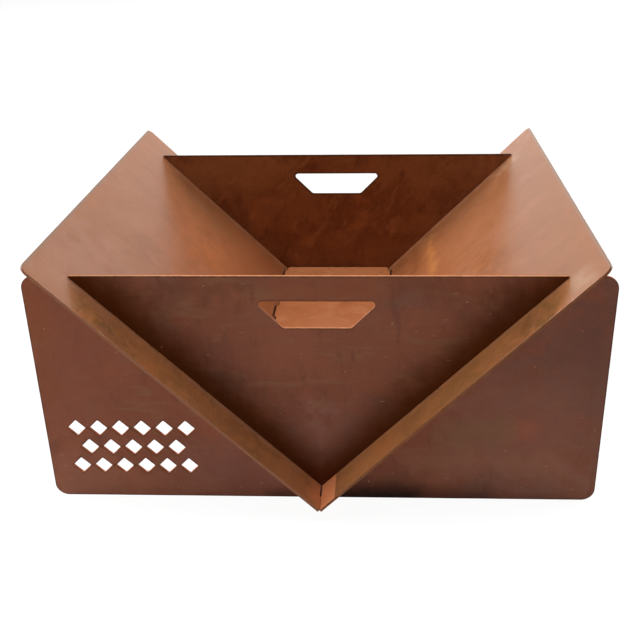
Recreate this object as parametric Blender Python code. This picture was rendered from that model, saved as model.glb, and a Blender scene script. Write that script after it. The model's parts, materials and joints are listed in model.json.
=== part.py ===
# Flat-pack fire bowl of five interlocking steel plates.
# Two upright end panels and two sloping side panels cross in halving joints and make a
# V-shaped trough. A floor plate lies across the trough, with tabs in the side panels' slots.
#
# Metres, +Z up. The origin is on the ground under the middle of the bowl, and -Y is the front.
# Sections are drawn on the right side panel: "along" runs up its slope from the valley, and
# "outward" runs square to it, from its inner face at 0 to its outer face at PLATE.

import math

import bmesh
import bpy
from mathutils import Matrix, Vector

# Steel and fits
PLATE = 0.003             # thickness of every plate
CLEARANCE = 0.0003        # gap between plates that touch
MOUTH_ROUND = 0.0008      # broken corners at the mouth of a slot
CORNER_STEPS = 8          # straight steps in a rounded corner

# End panels
END_HEIGHT = 0.267        # foot to top edge
WING_TOP = 0.0437         # top edge outside each slot
END_CORNER = 0.014
INSIDE_LENGTH = 0.450     # between the two end panels
SLOPE = math.radians(45)  # side panels, from the ground
VALLEY_HEIGHT = 0.0155    # inner bottom corners of the side panels, above the ground

# Hand hole in each end panel, its long side up
HOLE_BELOW_TOP = 0.0275
HOLE_WIDTH = 0.130
HOLE_HEIGHT = 0.030
HOLE_SLANT = math.radians(45)
HOLE_CORNER = 0.004

# Side panels
SIDE_RUN = 0.395          # bottom edge to top edge, up the slope
SIDE_OVERHANG = 0.0445    # past the outer face of each end panel
SIDE_CORNER = 0.010
LAND_LENGTH = 0.022       # end of the bottom edge that meets the other side panel
DRAIN_RELIEF = 0.0011     # bottom edge cut back between the lands

# Floor plate
FLOOR_HEIGHT = 0.0915     # its underside, above the ground
FLOOR_END_GAP = 0.002     # to each end panel
FLOOR_CORNER = 0.005
TAB_COUNT = 4             # on each long side
TAB_LENGTH = 0.036
TAB_REACH = 0.005         # past the plate's long edge
TAB_INSET = 0.014         # outermost tab, from the plate's end
TAB_CORNER = 0.0015
TAB_END_PLAY = 0.0005     # at each end of a tab in its slot

# Through cuts in the front panel's lower left wing: staggered rows of diamonds
DIAMOND_ROWS = 3
DIAMOND_COLUMNS = 6       # one fewer in every other row
DIAMOND_PITCH = 0.024
DIAMOND_BRIDGE = 0.004    # steel left between neighbours
DIAMOND_CORNER = 0.0008
CUTS_FROM_SIDE = 0.024    # first column's outer points, from the panel's side edge
CUTS_FROM_FOOT = 0.030    # lowest row's points, from the panel's foot

# What the driving sizes give
HALF_LENGTH = INSIDE_LENGTH / 2
OUTSIDE_LENGTH = INSIDE_LENGTH + 2 * PLATE
SIDE_LENGTH = OUTSIDE_LENGTH + 2 * SIDE_OVERHANG
CROSSING = (END_HEIGHT - VALLEY_HEIGHT) / math.sin(SLOPE)   # side panel within the end panel
JOINT_MIDDLE = CROSSING / 2                                 # where the two slots meet
FLOOR_LENGTH = INSIDE_LENGTH - 2 * FLOOR_END_GAP


def section(along, outward):
    """Place (x, z) of a point in the right side panel's section."""
    start = CLEARANCE / 2
    x = start + along * math.cos(SLOPE) + outward * math.sin(SLOPE)
    z = VALLEY_HEIGHT + along * math.sin(SLOPE) - outward * math.cos(SLOPE)
    return x, z


def section_at_height(height, outward):
    """Place (x, z) where a line along the side panel reaches a height."""
    along = (height - VALLEY_HEIGHT + outward * math.cos(SLOPE)) / math.sin(SLOPE)
    return section(along, outward)


MOUTH_INNER = section_at_height(END_HEIGHT, -CLEARANCE)[0]
MOUTH_OUTER = section_at_height(END_HEIGHT, PLATE + CLEARANCE)[0]
END_HALF_WIDTH = MOUTH_OUTER + WING_TOP
FLOOR_HALF_WIDTH = section_at_height(FLOOR_HEIGHT, -CLEARANCE)[0]
TAB_END = FLOOR_HALF_WIDTH + TAB_REACH
TAB_OUTERMOST = FLOOR_LENGTH / 2 - TAB_INSET - TAB_LENGTH / 2


def tab_places():
    """Middles of the floor plate's tabs along its length."""
    step = 2 * TAB_OUTERMOST / (TAB_COUNT - 1)
    return [index * step - TAB_OUTERMOST for index in range(TAB_COUNT)]


def rounded(corners):
    """Outline points from corners (x, y, radius), each radius limited by its edges."""
    points = []
    for index, (x, y, radius) in enumerate(corners):
        here = Vector((x, y))
        back = Vector(corners[index - 1][:2]) - here
        ahead = Vector(corners[(index + 1) % len(corners)][:2]) - here
        half_angle = back.angle(ahead) / 2
        setback = min(radius / math.tan(half_angle), 0.45 * back.length, 0.45 * ahead.length)
        if setback <= 0:
            points.append((x, y))
            continue
        radius = setback * math.tan(half_angle)
        bisector = (back.normalized() + ahead.normalized()).normalized()
        centre = here + bisector * (radius / math.sin(half_angle))
        start = here + back.normalized() * setback - centre
        turn = math.pi - 2 * half_angle
        if back.cross(ahead) > 0:
            turn = -turn
        for step in range(CORNER_STEPS + 1):
            arm = Matrix.Rotation(turn * step / CORNER_STEPS, 2) @ start
            points.append((centre.x + arm.x, centre.y + arm.y))
    return points


def mirrored(corners):
    """The same corners on the other side of the middle, so that the outline runs on."""
    return [(-x, y, radius) for x, y, radius in reversed(corners)]


def hand_hole():
    """Trapezoid with its long side up."""
    top = END_HEIGHT - HOLE_BELOW_TOP
    half_top = HOLE_WIDTH / 2
    half_bottom = half_top - HOLE_HEIGHT / math.tan(HOLE_SLANT)
    right = [(half_bottom, top - HOLE_HEIGHT, HOLE_CORNER), (half_top, top, HOLE_CORNER)]
    return rounded(right + mirrored(right))


def end_panel_outline():
    """Upright plate with a slot from its top edge down to the middle of each joint."""
    slot_end = JOINT_MIDDLE - CLEARANCE / 2
    outer_end = section(slot_end, PLATE + CLEARANCE)
    inner_end = section(slot_end, -CLEARANCE)
    right = [
        (END_HALF_WIDTH, 0, END_CORNER),
        (END_HALF_WIDTH, END_HEIGHT, END_CORNER),
        (MOUTH_OUTER, END_HEIGHT, MOUTH_ROUND),
        (*outer_end, 0),
        (*inner_end, 0),
        (MOUTH_INNER, END_HEIGHT, MOUTH_ROUND),
    ]
    return rounded(right + mirrored(right))


def diamond_cuts():
    """Staggered rows of diamonds, as holes in the front panel's lower left wing."""
    reach = (DIAMOND_PITCH - DIAMOND_BRIDGE) / 2
    first_x = -END_HALF_WIDTH + CUTS_FROM_SIDE + reach
    first_z = CUTS_FROM_FOOT + reach
    holes = []
    for row in range(DIAMOND_ROWS):
        shift = row % 2
        for column in range(DIAMOND_COLUMNS - shift):
            x = first_x + (column + shift / 2) * DIAMOND_PITCH
            z = first_z + row * DIAMOND_PITCH
            corners = [(x, z - reach), (x + reach, z), (x, z + reach), (x - reach, z)]
            holes.append(rounded([(*corner, DIAMOND_CORNER) for corner in corners]))
    return holes


def side_panel_outline():
    """Plate seen square on: x along the bowl, y up the slope, open slots at the bottom edge."""
    half = SIDE_LENGTH / 2
    slot_inner = HALF_LENGTH - CLEARANCE
    slot_outer = HALF_LENGTH + PLATE + CLEARANCE
    slot_end = JOINT_MIDDLE + CLEARANCE / 2
    right = [
        (slot_inner, DRAIN_RELIEF, MOUTH_ROUND),
        (slot_inner, slot_end, 0),
        (slot_outer, slot_end, 0),
        (slot_outer, DRAIN_RELIEF, MOUTH_ROUND),
        (half - LAND_LENGTH, DRAIN_RELIEF, 0),
        (half - LAND_LENGTH, 0, 0),
        (half, 0, 0),
        (half, SIDE_RUN, SIDE_CORNER),
    ]
    return rounded(right + mirrored(right))


def tab_slots():
    """Slots in a side panel that the floor plate's tabs drop into from above."""
    low = (FLOOR_HEIGHT - CLEARANCE - VALLEY_HEIGHT) / math.sin(SLOPE)
    high = (TAB_END + CLEARANCE - section(0, 0)[0]) / math.cos(SLOPE)
    half = TAB_LENGTH / 2 + TAB_END_PLAY
    return [[(y - half, low), (y + half, low), (y + half, high), (y - half, high)]
            for y in tab_places()]


def floor_outline():
    """Floor plate seen from above, with its tabs."""
    end = FLOOR_LENGTH / 2
    right = [(FLOOR_HALF_WIDTH, -end, FLOOR_CORNER)]
    for y in tab_places():
        start, stop = y - TAB_LENGTH / 2, y + TAB_LENGTH / 2
        right += [
            (FLOOR_HALF_WIDTH, start, 0),
            (TAB_END, start, TAB_CORNER),
            (TAB_END, stop, TAB_CORNER),
            (FLOOR_HALF_WIDTH, stop, 0),
        ]
    right.append((FLOOR_HALF_WIDTH, end, FLOOR_CORNER))
    return rounded(right + mirrored(right))


def steel(name, colour, roughness, metallic):
    """Rusted steel with a matt brown patina."""
    material = bpy.data.materials.new(name)
    material.use_nodes = True
    shader = material.node_tree.nodes["Principled BSDF"]
    shader.inputs["Base Color"].default_value = (*colour, 1)
    shader.inputs["Roughness"].default_value = roughness
    shader.inputs["Metallic"].default_value = metallic
    material.diffuse_color = (*colour, 1)
    return material


def plate(name, outlines, material, collection):
    """A flat plate: the first outline is its edge, and the others are holes."""
    drawing = bpy.data.curves.new(name + "_drawing", "CURVE")
    drawing.dimensions = "2D"
    drawing.fill_mode = "BOTH"
    drawing.extrude = PLATE / 2
    for outline in outlines:
        spline = drawing.splines.new("POLY")
        spline.points.add(len(outline) - 1)
        for point, (x, y) in zip(spline.points, outline):
            point.co = (x, y, 0, 1)
        spline.use_cyclic_u = True
    sketch = bpy.data.objects.new(name + "_sketch", drawing)
    collection.objects.link(sketch)
    graph = bpy.context.evaluated_depsgraph_get()
    mesh = bpy.data.meshes.new_from_object(sketch.evaluated_get(graph))
    mesh.name = name
    bpy.data.objects.remove(sketch)
    bpy.data.curves.remove(drawing)

    weld = bmesh.new()
    weld.from_mesh(mesh)
    bmesh.ops.remove_doubles(weld, verts=weld.verts, dist=1e-6)
    bmesh.ops.recalc_face_normals(weld, faces=weld.faces)
    weld.to_mesh(mesh)
    weld.free()

    mesh.materials.clear()
    mesh.materials.append(material)
    piece = bpy.data.objects.new(name, mesh)
    collection.objects.link(piece)
    return piece


def make_end_panels(collection):
    """Two upright panels on their feet; the front one has the diamond cuts."""
    material = steel("end_panel_steel", (0.135, 0.043, 0.024), 0.72, 0.25)
    outline = end_panel_outline()
    front = plate("front_panel", [outline, hand_hole(), *diamond_cuts()], material, collection)
    back = plate("back_panel", [outline, hand_hole()], material, collection)
    middle = HALF_LENGTH + PLATE / 2
    for piece, y in ((front, -middle), (back, middle)):
        piece.rotation_euler = (math.radians(90), 0, 0)
        piece.location = (0, y, 0)


def make_side_panels(collection):
    """Two sloping panels; each slides up its own slope, out of the end panels' slots."""
    material = steel("side_panel_steel", (0.36, 0.155, 0.085), 0.70, 0.25)
    along = Vector((math.cos(SLOPE), 0, math.sin(SLOPE)))
    outward = Vector((math.sin(SLOPE), 0, -math.cos(SLOPE)))
    x, z = section(0, PLATE / 2)
    turn = Matrix((Vector((0, 1, 0)), along, outward)).transposed().to_4x4()
    seat = Matrix.Translation((x, 0, z)) @ turn
    other_side = Matrix.Rotation(math.pi, 4, "Z")
    for name, place in (("right_panel", seat), ("left_panel", other_side @ seat)):
        piece = plate(name, [side_panel_outline(), *tab_slots()], material, collection)
        piece.location = place.to_translation()
        piece.rotation_euler = place.to_euler()


def make_base_plate(collection):
    """Floor of the bowl; it lifts straight up, out of the side panels' slots."""
    material = steel("base_plate_steel", (0.42, 0.17, 0.075), 0.68, 0.25)
    piece = plate("base_plate", [floor_outline()], material, collection)
    piece.location = (0, 0, FLOOR_HEIGHT + PLATE / 2)


def main():
    """Clear the scene's objects and build the five plates."""
    for old in list(bpy.data.objects):
        bpy.data.objects.remove(old)
    collection = bpy.data.collections.new("fire_bowl")
    bpy.context.scene.collection.children.link(collection)
    make_end_panels(collection)
    make_side_panels(collection)
    make_base_plate(collection)


main()
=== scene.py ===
"""Looks of a flat-pack fire bowl: five rusted steel plates with worn cut edges, on a pale floor.

Metres, +Z up, and -Y is the front. Each plate is drawn flat, as closed outlines of points
(across, up), and is then laid in its place in the bowl.
"""

import json
import logging
import math
from dataclasses import dataclass
from enum import Enum

import bpy
import numpy as np
from mathutils import Euler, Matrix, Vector
from mathutils.geometry import delaunay_2d_cdt


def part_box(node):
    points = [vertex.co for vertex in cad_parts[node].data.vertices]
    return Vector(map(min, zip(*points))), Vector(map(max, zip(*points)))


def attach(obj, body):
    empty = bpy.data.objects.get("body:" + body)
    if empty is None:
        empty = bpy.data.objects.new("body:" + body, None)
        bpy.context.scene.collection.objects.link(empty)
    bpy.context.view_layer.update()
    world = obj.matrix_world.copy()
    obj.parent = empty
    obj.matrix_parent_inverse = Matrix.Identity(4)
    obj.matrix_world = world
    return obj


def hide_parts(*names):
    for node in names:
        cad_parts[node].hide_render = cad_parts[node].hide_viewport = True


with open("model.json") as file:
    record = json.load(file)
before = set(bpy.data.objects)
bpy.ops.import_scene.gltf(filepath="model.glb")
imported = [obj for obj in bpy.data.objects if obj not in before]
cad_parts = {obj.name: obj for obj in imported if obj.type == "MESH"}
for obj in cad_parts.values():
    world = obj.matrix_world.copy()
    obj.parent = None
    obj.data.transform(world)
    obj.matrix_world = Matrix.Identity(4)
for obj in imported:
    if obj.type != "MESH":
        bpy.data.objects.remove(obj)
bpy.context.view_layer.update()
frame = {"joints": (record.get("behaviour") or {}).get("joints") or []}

PLATE_MAP = "plate"            # UV map: metres across and up the flat plate
EDGE_ATTRIBUTE = "edge_distance"
CUT_ATTRIBUTE = "cut_wall"
ARC_STEPS = 4                  # fewest on one corner
ARC_SHARE = 0.45               # most of an edge that the arc of one corner takes
SHARPEST_MITRE = 0.4           # keeps the shift of a sharp corner short
FILL_TOLERANCE = 1e-9
FILL_DRIFT = 1e-6              # most that a point may move while a face is filled
UP_THE_PLATE = math.pi / 2
NOISE_SPAN = (0.25, 0.75)      # nearly all values of a noise
NOISE_CORE = (0.3, 0.7)        # most of them
MIX_BELOW, MIX_ABOVE, MIXED = 6, 7, 2    # sockets of the node that mixes colours
MM_PER_M = 1000

log = logging.getLogger("fire_bowl")

Array = np.ndarray
Socket = bpy.types.NodeSocket
Value = Socket | float
Inputs = dict[str | int, object]
Pair = tuple[float, float]
Place = tuple[float, float, float]
Corner = tuple[float, float, float]    # across, up and radius
Colour = tuple[float, float, float]
Paint = Socket | Colour        # a colour worked out by nodes, or a plain one


class Side(Enum):
    """Side of the bowl seen from the front, as the sign of its X."""

    LEFT = -1
    RIGHT = 1


class End(Enum):
    """End of the bowl, as the sign of its Y."""

    FRONT = -1
    BACK = 1


def in_scene(name: str, data: bpy.types.ID) -> bpy.types.Object:
    """Put a mesh, a lamp or a camera in the scene.

    Args:
        name: Name of the new object.
        data: What it shows.

    Returns:
        The object, at the origin.
    """
    made = bpy.data.objects.new(name, data)
    bpy.context.scene.collection.objects.link(made)
    return made


def rounded(corners: list[Corner], chord: float = 0.001) -> Array:
    """Draw a closed outline whose corners are arcs.

    Each arc touches both edges of its corner. Its centre lies on the corner's bisector, at the
    radius divided by the sine of half the corner's angle.

    Args:
        corners: Places and radii, in order round the outline.
        chord: Longest straight step on an arc.

    Returns:
        Points of the outline, one row each.
    """
    places = np.array([corner[:2] for corner in corners])
    stretches = []
    for index, (_, _, radius) in enumerate(corners):
        here = places[index]
        back = places[index - 1] - here
        ahead = places[(index + 1) % len(places)] - here
        back_length, ahead_length = np.linalg.norm(back), np.linalg.norm(ahead)
        back, ahead = back / back_length, ahead / ahead_length
        half_angle = math.acos(np.clip(back @ ahead, -1, 1)) / 2
        most = ARC_SHARE * min(back_length, ahead_length)
        setback = min(radius / math.tan(half_angle), most)
        if setback <= 0:
            stretches.append(here[None])
            continue
        radius = setback * math.tan(half_angle)
        bisector = (back + ahead) / np.linalg.norm(back + ahead)
        centre = here + bisector * radius / math.sin(half_angle)
        arm = here + back * setback - centre
        turn = math.pi - 2 * half_angle
        steps = max(ARC_STEPS, math.ceil(radius * turn / chord))
        turn *= -math.copysign(1, back[0] * ahead[1] - back[1] * ahead[0])
        angles = np.linspace(0, turn, steps + 1)
        cosine, sine = np.cos(angles), np.sin(angles)
        arc = np.stack([arm[0] * cosine - arm[1] * sine, arm[0] * sine + arm[1] * cosine], 1)
        stretches.append(centre + arc)
    return np.concatenate(stretches)


def symmetric(right: list[Corner]) -> Array:
    """Draw an outline from the corners of its right half, anticlockwise, and their mirror image."""
    left = [(-across, up, radius) for across, up, radius in reversed(right)]
    return rounded(right + left)


def following(loops: list[Array]) -> Array:
    """Index of the next point on the same loop, for the points of all the loops in a row.

    It is one more than the point's own, and at the end of a loop that of its first point.

    Args:
        loops: Closed loops.

    Returns:
        One index for each point.
    """
    lengths = np.array([len(loop) for loop in loops])
    ends = np.cumsum(lengths)
    ahead = np.arange(ends[-1]) + 1
    ahead[ends - 1] = ends - lengths
    return ahead


def filled_in(loop: Array, spacing: float) -> Array:
    """Add evenly spaced points to the long straight edges of a loop.

    An edge is cut into equal steps, as few as keep each below the spacing.

    Args:
        loop: Points of the loop.
        spacing: Longest step.

    Returns:
        The loop with its own points kept.
    """
    ahead = np.roll(loop, -1, 0) - loop
    counts = np.ceil(np.linalg.norm(ahead, axis=1) / spacing).astype(int)
    edge = np.repeat(np.arange(len(loop)), counts)
    first = np.repeat(np.cumsum(counts) - counts, counts)
    share = (np.arange(len(edge)) - first) / counts[edge]
    return loop[edge] + ahead[edge] * share[:, None]


def distance_to(points: Array, loops: list[Array]) -> Array:
    """Distance from each point to the nearest edge of any loop.

    The nearest place on an edge is where the point falls square on it, held between its ends.

    Args:
        points: Places to measure from.
        loops: Closed outlines.

    Returns:
        One distance for each point.
    """
    nearest = np.full(len(points), np.inf)
    for loop in loops:
        edges = np.roll(loop, -1, 0) - loop
        lengths = (edges ** 2).sum(1)
        offset = points[:, None] - loop[None]
        share = np.clip((offset * edges).sum(2) / lengths, 0, 1)
        gap = np.linalg.norm(offset - share[..., None] * edges, axis=2).min(1)
        nearest = np.minimum(nearest, gap)
    return nearest


def in_steel(points: Array, loops: list[Array]) -> Array:
    """Whether each point is on steel: a line from it crosses the loops an odd number of times.

    Args:
        points: Places to test.
        loops: The outer edge and the holes.

    Returns:
        A truth value for each point.
    """
    crossings = np.zeros(len(points), int)
    x, y = points[:, None, 0], points[:, None, 1]
    for loop in loops:
        ahead = np.roll(loop, -1, 0)
        spans = (loop[None, :, 1] > y) != (ahead[None, :, 1] > y)
        rise = np.where(ahead[:, 1] == loop[:, 1], 1, ahead[:, 1] - loop[:, 1])
        meets = loop[:, 0] + (y - loop[:, 1]) / rise * (ahead[:, 0] - loop[:, 0])
        crossings += (spans & (x < meets)).sum(1)
    return crossings % 2 == 1


def inward(loop: Array) -> Array:
    """Direction into the steel at each point of a loop, long enough to shift both its edges by 1.

    It is the sum of the left normals of the two edges, divided by 1 plus their product.

    Args:
        loop: Points with the steel on their left.

    Returns:
        One direction for each point.
    """
    ahead = np.roll(loop, -1, 0) - loop
    ahead = ahead / np.linalg.norm(ahead, axis=1)[:, None]
    left = np.stack([-ahead[:, 1], ahead[:, 0]], 1)
    before = np.roll(left, 1, 0)
    return (left + before) / np.maximum(1 + (left * before).sum(1), SHARPEST_MITRE)[:, None]


@dataclass(frozen=True)
class Bowl:
    """What the plates share: the slope, the levels and the floor's tabs."""

    thickness: float
    end_height: float
    end_half_width: float
    half_length: float             # from the middle to the end panels' inner faces
    side_half_length: float
    side_run: float                # bottom edge to top edge of a side panel, up its slope
    valley: float                  # height of the side panels' inner bottom corners
    side_start: float              # X of the right panel's inner bottom corner
    floor_height: float            # underside of the floor plate
    floor_half_length: float
    tab_end: float                 # X of the ends of the floor's right tabs
    slope: float
    clearance: float = 0.0003
    tab_count: int = 4             # on each long side of the floor
    tab_length: float = 0.036
    tab_inset: float = 0.014       # outermost tab, from the floor's end

    @classmethod
    def measured(cls) -> "Bowl":
        """Read the sizes from the boxes of the frame's nodes and the slope from a joint's axis.

        Returns:
            The bowl's sizes.
        """
        end_low, end_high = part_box("front_panel")
        side_low, side_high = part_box("right_panel")
        floor_low, floor_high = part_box("base_plate")
        thickness = end_high.y - end_low.y
        joint = next(j for j in frame["joints"] if j["name"] == "right_panel_slide")
        slope = math.atan2(joint["axis"][2], joint["axis"][0])
        valley = side_low.z + thickness * math.cos(slope)
        return cls(
            thickness=thickness,
            end_height=end_high.z,
            end_half_width=end_high.x,
            half_length=-end_high.y,
            side_half_length=side_high.y,
            side_run=(side_high.z - valley) / math.sin(slope),
            valley=valley,
            side_start=side_low.x,
            floor_height=floor_low.z,
            floor_half_length=floor_high.y,
            tab_end=floor_high.x,
            slope=slope,
        )

    def section(self, along: float, outward: float) -> Pair:
        """Place on the right panel in section, found by the cosine and the sine of its slope.

        Args:
            along: Metres up the slope from the valley.
            outward: Metres outwards from the panel's inner face.

        Returns:
            X and Z of the place.
        """
        cosine, sine = math.cos(self.slope), math.sin(self.slope)
        return (self.side_start + along * cosine + outward * sine,
                self.valley + along * sine - outward * cosine)

    def section_at_height(self, height: float, outward: float) -> Pair:
        """Place (x, z) where a line along the side panel reaches a height."""
        rise = height - self.valley + outward * math.cos(self.slope)
        return self.section(rise / math.sin(self.slope), outward)

    @property
    def joint_middle(self) -> float:
        """Where the slots of an end panel and a side panel meet, up the slope."""
        return (self.end_height - self.valley) / math.sin(self.slope) / 2

    @property
    def tab_middles(self) -> Array:
        """Middles of the floor's tabs along the bowl."""
        outermost = self.floor_half_length - self.tab_inset - self.tab_length / 2
        return np.linspace(-outermost, outermost, self.tab_count)


@dataclass(frozen=True)
class EdgeWear:
    """Cut edge of a plate: its corners are broken, worn unevenly and nicked here and there."""

    corner: float = 0.00025        # radius of a broken corner
    uneven: float = 0.35           # share by which that radius wanders
    least: float = 0.3             # share of that radius which always stays
    waves: int = 9                 # that the unevenness is made of
    wave_counts: tuple[int, int] = (3, 60)    # times that a wave fits into an edge
    nick_depth: float = 0.0005
    nick_length: float = 0.0016
    nick_every: float = 0.11       # length of edge for each nick
    nick_scatter: Pair = (0.2, 1)  # root of a nick's share of the depth
    nick_inset: float = 0.4        # share of a nick that goes into the wall
    arc_steps: int = 3

    def wander(self, share: Array, random: np.random.Generator) -> Array:
        """Smooth unevenness along a closed edge, between about -1 and 1.

        It is a sum of waves that each fit a whole number of times into the edge, over twice the
        sum's spread.

        Args:
            share: Place along the edge, 0 to 1.
            random: Source of the waves' counts and phases.

        Returns:
            One value for each place.
        """
        counts = random.integers(*self.wave_counts, self.waves)
        phases = random.uniform(0, 2 * math.pi, self.waves)
        waves = np.cos(2 * math.pi * share[:, None] * counts + phases)
        return waves.sum(1) / math.sqrt(2 * self.waves)

    def nicks(self, run: Array, length: float, random: np.random.Generator) -> Array:
        """Depth of the small dents along an edge: bell curves at chance places.

        Args:
            run: Metres along the edge.
            length: The edge's whole length.
            random: Source of the places and depths.

        Returns:
            One depth for each place.
        """
        count = max(1, round(length / self.nick_every))
        places = random.uniform(0, length, count)
        depths = self.nick_depth * random.uniform(*self.nick_scatter, count) ** 2
        apart = (run[:, None] - places) / self.nick_length
        return (depths * np.exp(-apart ** 2)).sum(1)

    def section(self, loop: Array, thickness: float, random: np.random.Generator) -> Array:
        """Carry the edge's profile round a loop.

        The profile leaves the upper face at the corner radius from the edge, turns a quarter
        circle into the cut wall, runs down it, and turns another quarter circle to the lower face.

        Args:
            loop: Points with the steel on their left.
            thickness: Thickness of the plate.
            random: Source of the wear.

        Returns:
            A grid of points (along the loop, across the profile, 3).
        """
        steps = np.linalg.norm(np.roll(loop, -1, 0) - loop, axis=1)
        run = np.cumsum(steps) - steps
        share = run / steps.sum()
        quarter = np.linspace(0, math.pi / 2, self.arc_steps + 1)
        rows = []
        for face, angles in ((1, quarter), (-1, quarter[::-1])):
            dents = self.nicks(run, steps.sum(), random)
            radius = self.corner * (1 + self.uneven * self.wander(share, random))
            radius = np.maximum(radius, self.least * self.corner) + (1 - self.nick_inset) * dents
            inset = self.nick_inset * dents[:, None] + radius[:, None] * (1 - np.sin(angles))
            height = face * (thickness / 2 - radius[:, None] * (1 - np.cos(angles)))
            flat = loop[:, None] + inward(loop)[:, None] * inset[..., None]
            rows.append(np.concatenate([flat, height[..., None]], 2))
        return np.concatenate(rows, 1)


class Graph:
    """Nodes of a material or a backdrop, with short calls for those that a finish needs."""

    def __init__(self, owner: bpy.types.Material | bpy.types.World) -> None:
        """Start with the nodes that a new material or backdrop has.

        Args:
            owner: The material or backdrop.
        """
        owner.use_nodes = True
        self.nodes = owner.node_tree.nodes
        self.links = owner.node_tree.links

    def fill(self, node: bpy.types.Node, inputs: Inputs) -> None:
        """Link or set the inputs of a node.

        Args:
            node: The node.
            inputs: A socket to link, or a value to set, for each named or numbered input.
        """
        for name, value in inputs.items():
            if isinstance(value, Socket):
                self.links.new(value, node.inputs[name])
            else:
                node.inputs[name].default_value = value

    def node(self, kind: str, inputs: Inputs, **settings: str) -> bpy.types.Node:
        """Add a node.

        Args:
            kind: Type of the node.
            inputs: What its inputs are linked or set to.
            **settings: Properties of the node.

        Returns:
            The new node.
        """
        made = self.nodes.new(kind)
        for name, value in settings.items():
            setattr(made, name, value)
        self.fill(made, inputs)
        return made

    def value(self, operation: str, *inputs: Value) -> Socket:
        """Result of an operation on its inputs, in their order."""
        return self.node("ShaderNodeMath", dict(enumerate(inputs)), operation=operation).outputs[0]

    def noise(self, vector: Socket, size: float, detail: float = 4, roughness: float = 0.6,
              warp: float = 0) -> Socket:
        """Soft noise whose patches measure about the given size.

        Args:
            vector: Coordinates in metres.
            size: Size of a patch, in metres.
            detail: Octaves of finer noise.
            roughness: Strength of the finer octaves.
            warp: How far the pattern is distorted.

        Returns:
            A value near 0.5, from 0 to 1.
        """
        inputs = {"Vector": vector, "Scale": 1 / size, "Detail": detail,
                  "Roughness": roughness, "Distortion": warp}
        return self.node("ShaderNodeTexNoise", inputs).outputs["Fac"]

    def step(self, value: Value, low: float, high: float, to_low: float = 0,
             to_high: float = 1) -> Socket:
        """Smooth step from one value to another.

        Args:
            value: What is measured.
            low: Where the step starts.
            high: Where it ends.
            to_low: Result below the step.
            to_high: Result above it.

        Returns:
            The stepped value.
        """
        inputs = {"Value": value, "From Min": low, "From Max": high,
                  "To Min": to_low, "To Max": to_high}
        node = self.node("ShaderNodeMapRange", inputs, interpolation_type="SMOOTHSTEP")
        return node.outputs["Result"]

    def mix(self, amount: Value, below: Paint, above: Paint, blend: str = "MIX") -> Socket:
        """Lay one colour over another.

        Args:
            amount: Cover, 0 to 1.
            below: Colour underneath.
            above: Colour on top.
            blend: How they mix.

        Returns:
            The mixed colour.
        """
        opaque = [paint if isinstance(paint, Socket) else (*paint, 1) for paint in (below, above)]
        inputs = {"Factor": amount, MIX_BELOW: opaque[0], MIX_ABOVE: opaque[1]}
        node = self.node("ShaderNodeMix", inputs, data_type="RGBA", blend_type=blend)
        return node.outputs[MIXED]


class PlateGraph(Graph):
    """Nodes of a plate's rust, with the coordinates that its tones read."""

    def __init__(self, name: str, border_size: float) -> None:
        """Start a material with the plate's coordinates.

        Args:
            name: Name of the material.
            border_size: Size of the bays and tongues in the borders of its stains.
        """
        self.material = bpy.data.materials.new(name)
        super().__init__(self.material)
        self.place = self.node("ShaderNodeTexCoord", {}).outputs["Object"]
        self.flat = self.node("ShaderNodeUVMap", {}, uv_map=PLATE_MAP).outputs["UV"]
        self.across, self.up, _ = self.node("ShaderNodeSeparateXYZ", {0: self.flat}).outputs
        self.wall = self.attribute(CUT_ATTRIBUTE)
        self.stray = self.step(self.noise(self.place, border_size), *NOISE_SPAN, -1, 1)
        self.depth = 0.0           # where the next pattern on the plate is read

    def attribute(self, name: str) -> Socket:
        """Value of a vertex attribute."""
        return self.node("ShaderNodeAttribute", {}, attribute_name=name).outputs["Fac"]

    def stretch(self, long: float, turn: float = 0) -> Socket:
        """Places on the plate, for a pattern that is drawn long in one direction.

        Args:
            long: Length of the pattern's shapes, in their widths.
            turn: Direction of their length, from across the plate.

        Returns:
            The plate map moved to the depth, turned back and shrunk along the turned axis.
        """
        inputs = {"Vector": self.flat, "Location": (-self.depth, 0, -self.depth),
                  "Rotation": (0, 0, turn), "Scale": (long, 1, 1)}
        return self.node("ShaderNodeMapping", inputs, vector_type="TEXTURE").outputs[0]


@dataclass(frozen=True)
class Tone:
    """A tone of rust, painted light or painted shade that covers part of a plate."""

    colour: Colour
    cover: float                   # where it is full

    def amount(self, graph: PlateGraph) -> Socket:
        """How far the tone covers each place."""
        raise NotImplementedError


@dataclass(frozen=True)
class Cloud(Tone):
    """A tone in the shapes of a noise."""

    size: float                    # of one shape
    levels: Pair                   # of the noise, where the tone starts and where it is full
    long: float = 1                # length of a shape, in its widths
    turn: float = 0                # direction of its length, from across the plate
    detail: float = 4
    roughness: float = 0.55        # strength of the finer octaves
    warp: float = 0.6
    ends: Pair | None = None       # keeps the tone this far out across, and below this height
    fade: float = 0.05             # over which it fades out below that height

    def amount(self, graph: PlateGraph) -> Socket:
        """Step up from one level of the noise to the other, on the ends alone where ends are set.

        Args:
            graph: The plate's nodes.

        Returns:
            The cover of each place.
        """
        place = graph.stretch(self.long, self.turn)
        noise = graph.noise(place, self.size, self.detail, self.roughness, self.warp)
        cover = graph.step(noise, *self.levels, 0, self.cover)
        if self.ends:
            start, top = self.ends
            aside = graph.value("GREATER_THAN", graph.value("ABSOLUTE", graph.across), start)
            cover = graph.value("MULTIPLY", cover, aside)
            cover = graph.value("MULTIPLY", cover, graph.step(graph.up, top, top - self.fade))
        return cover


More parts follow.
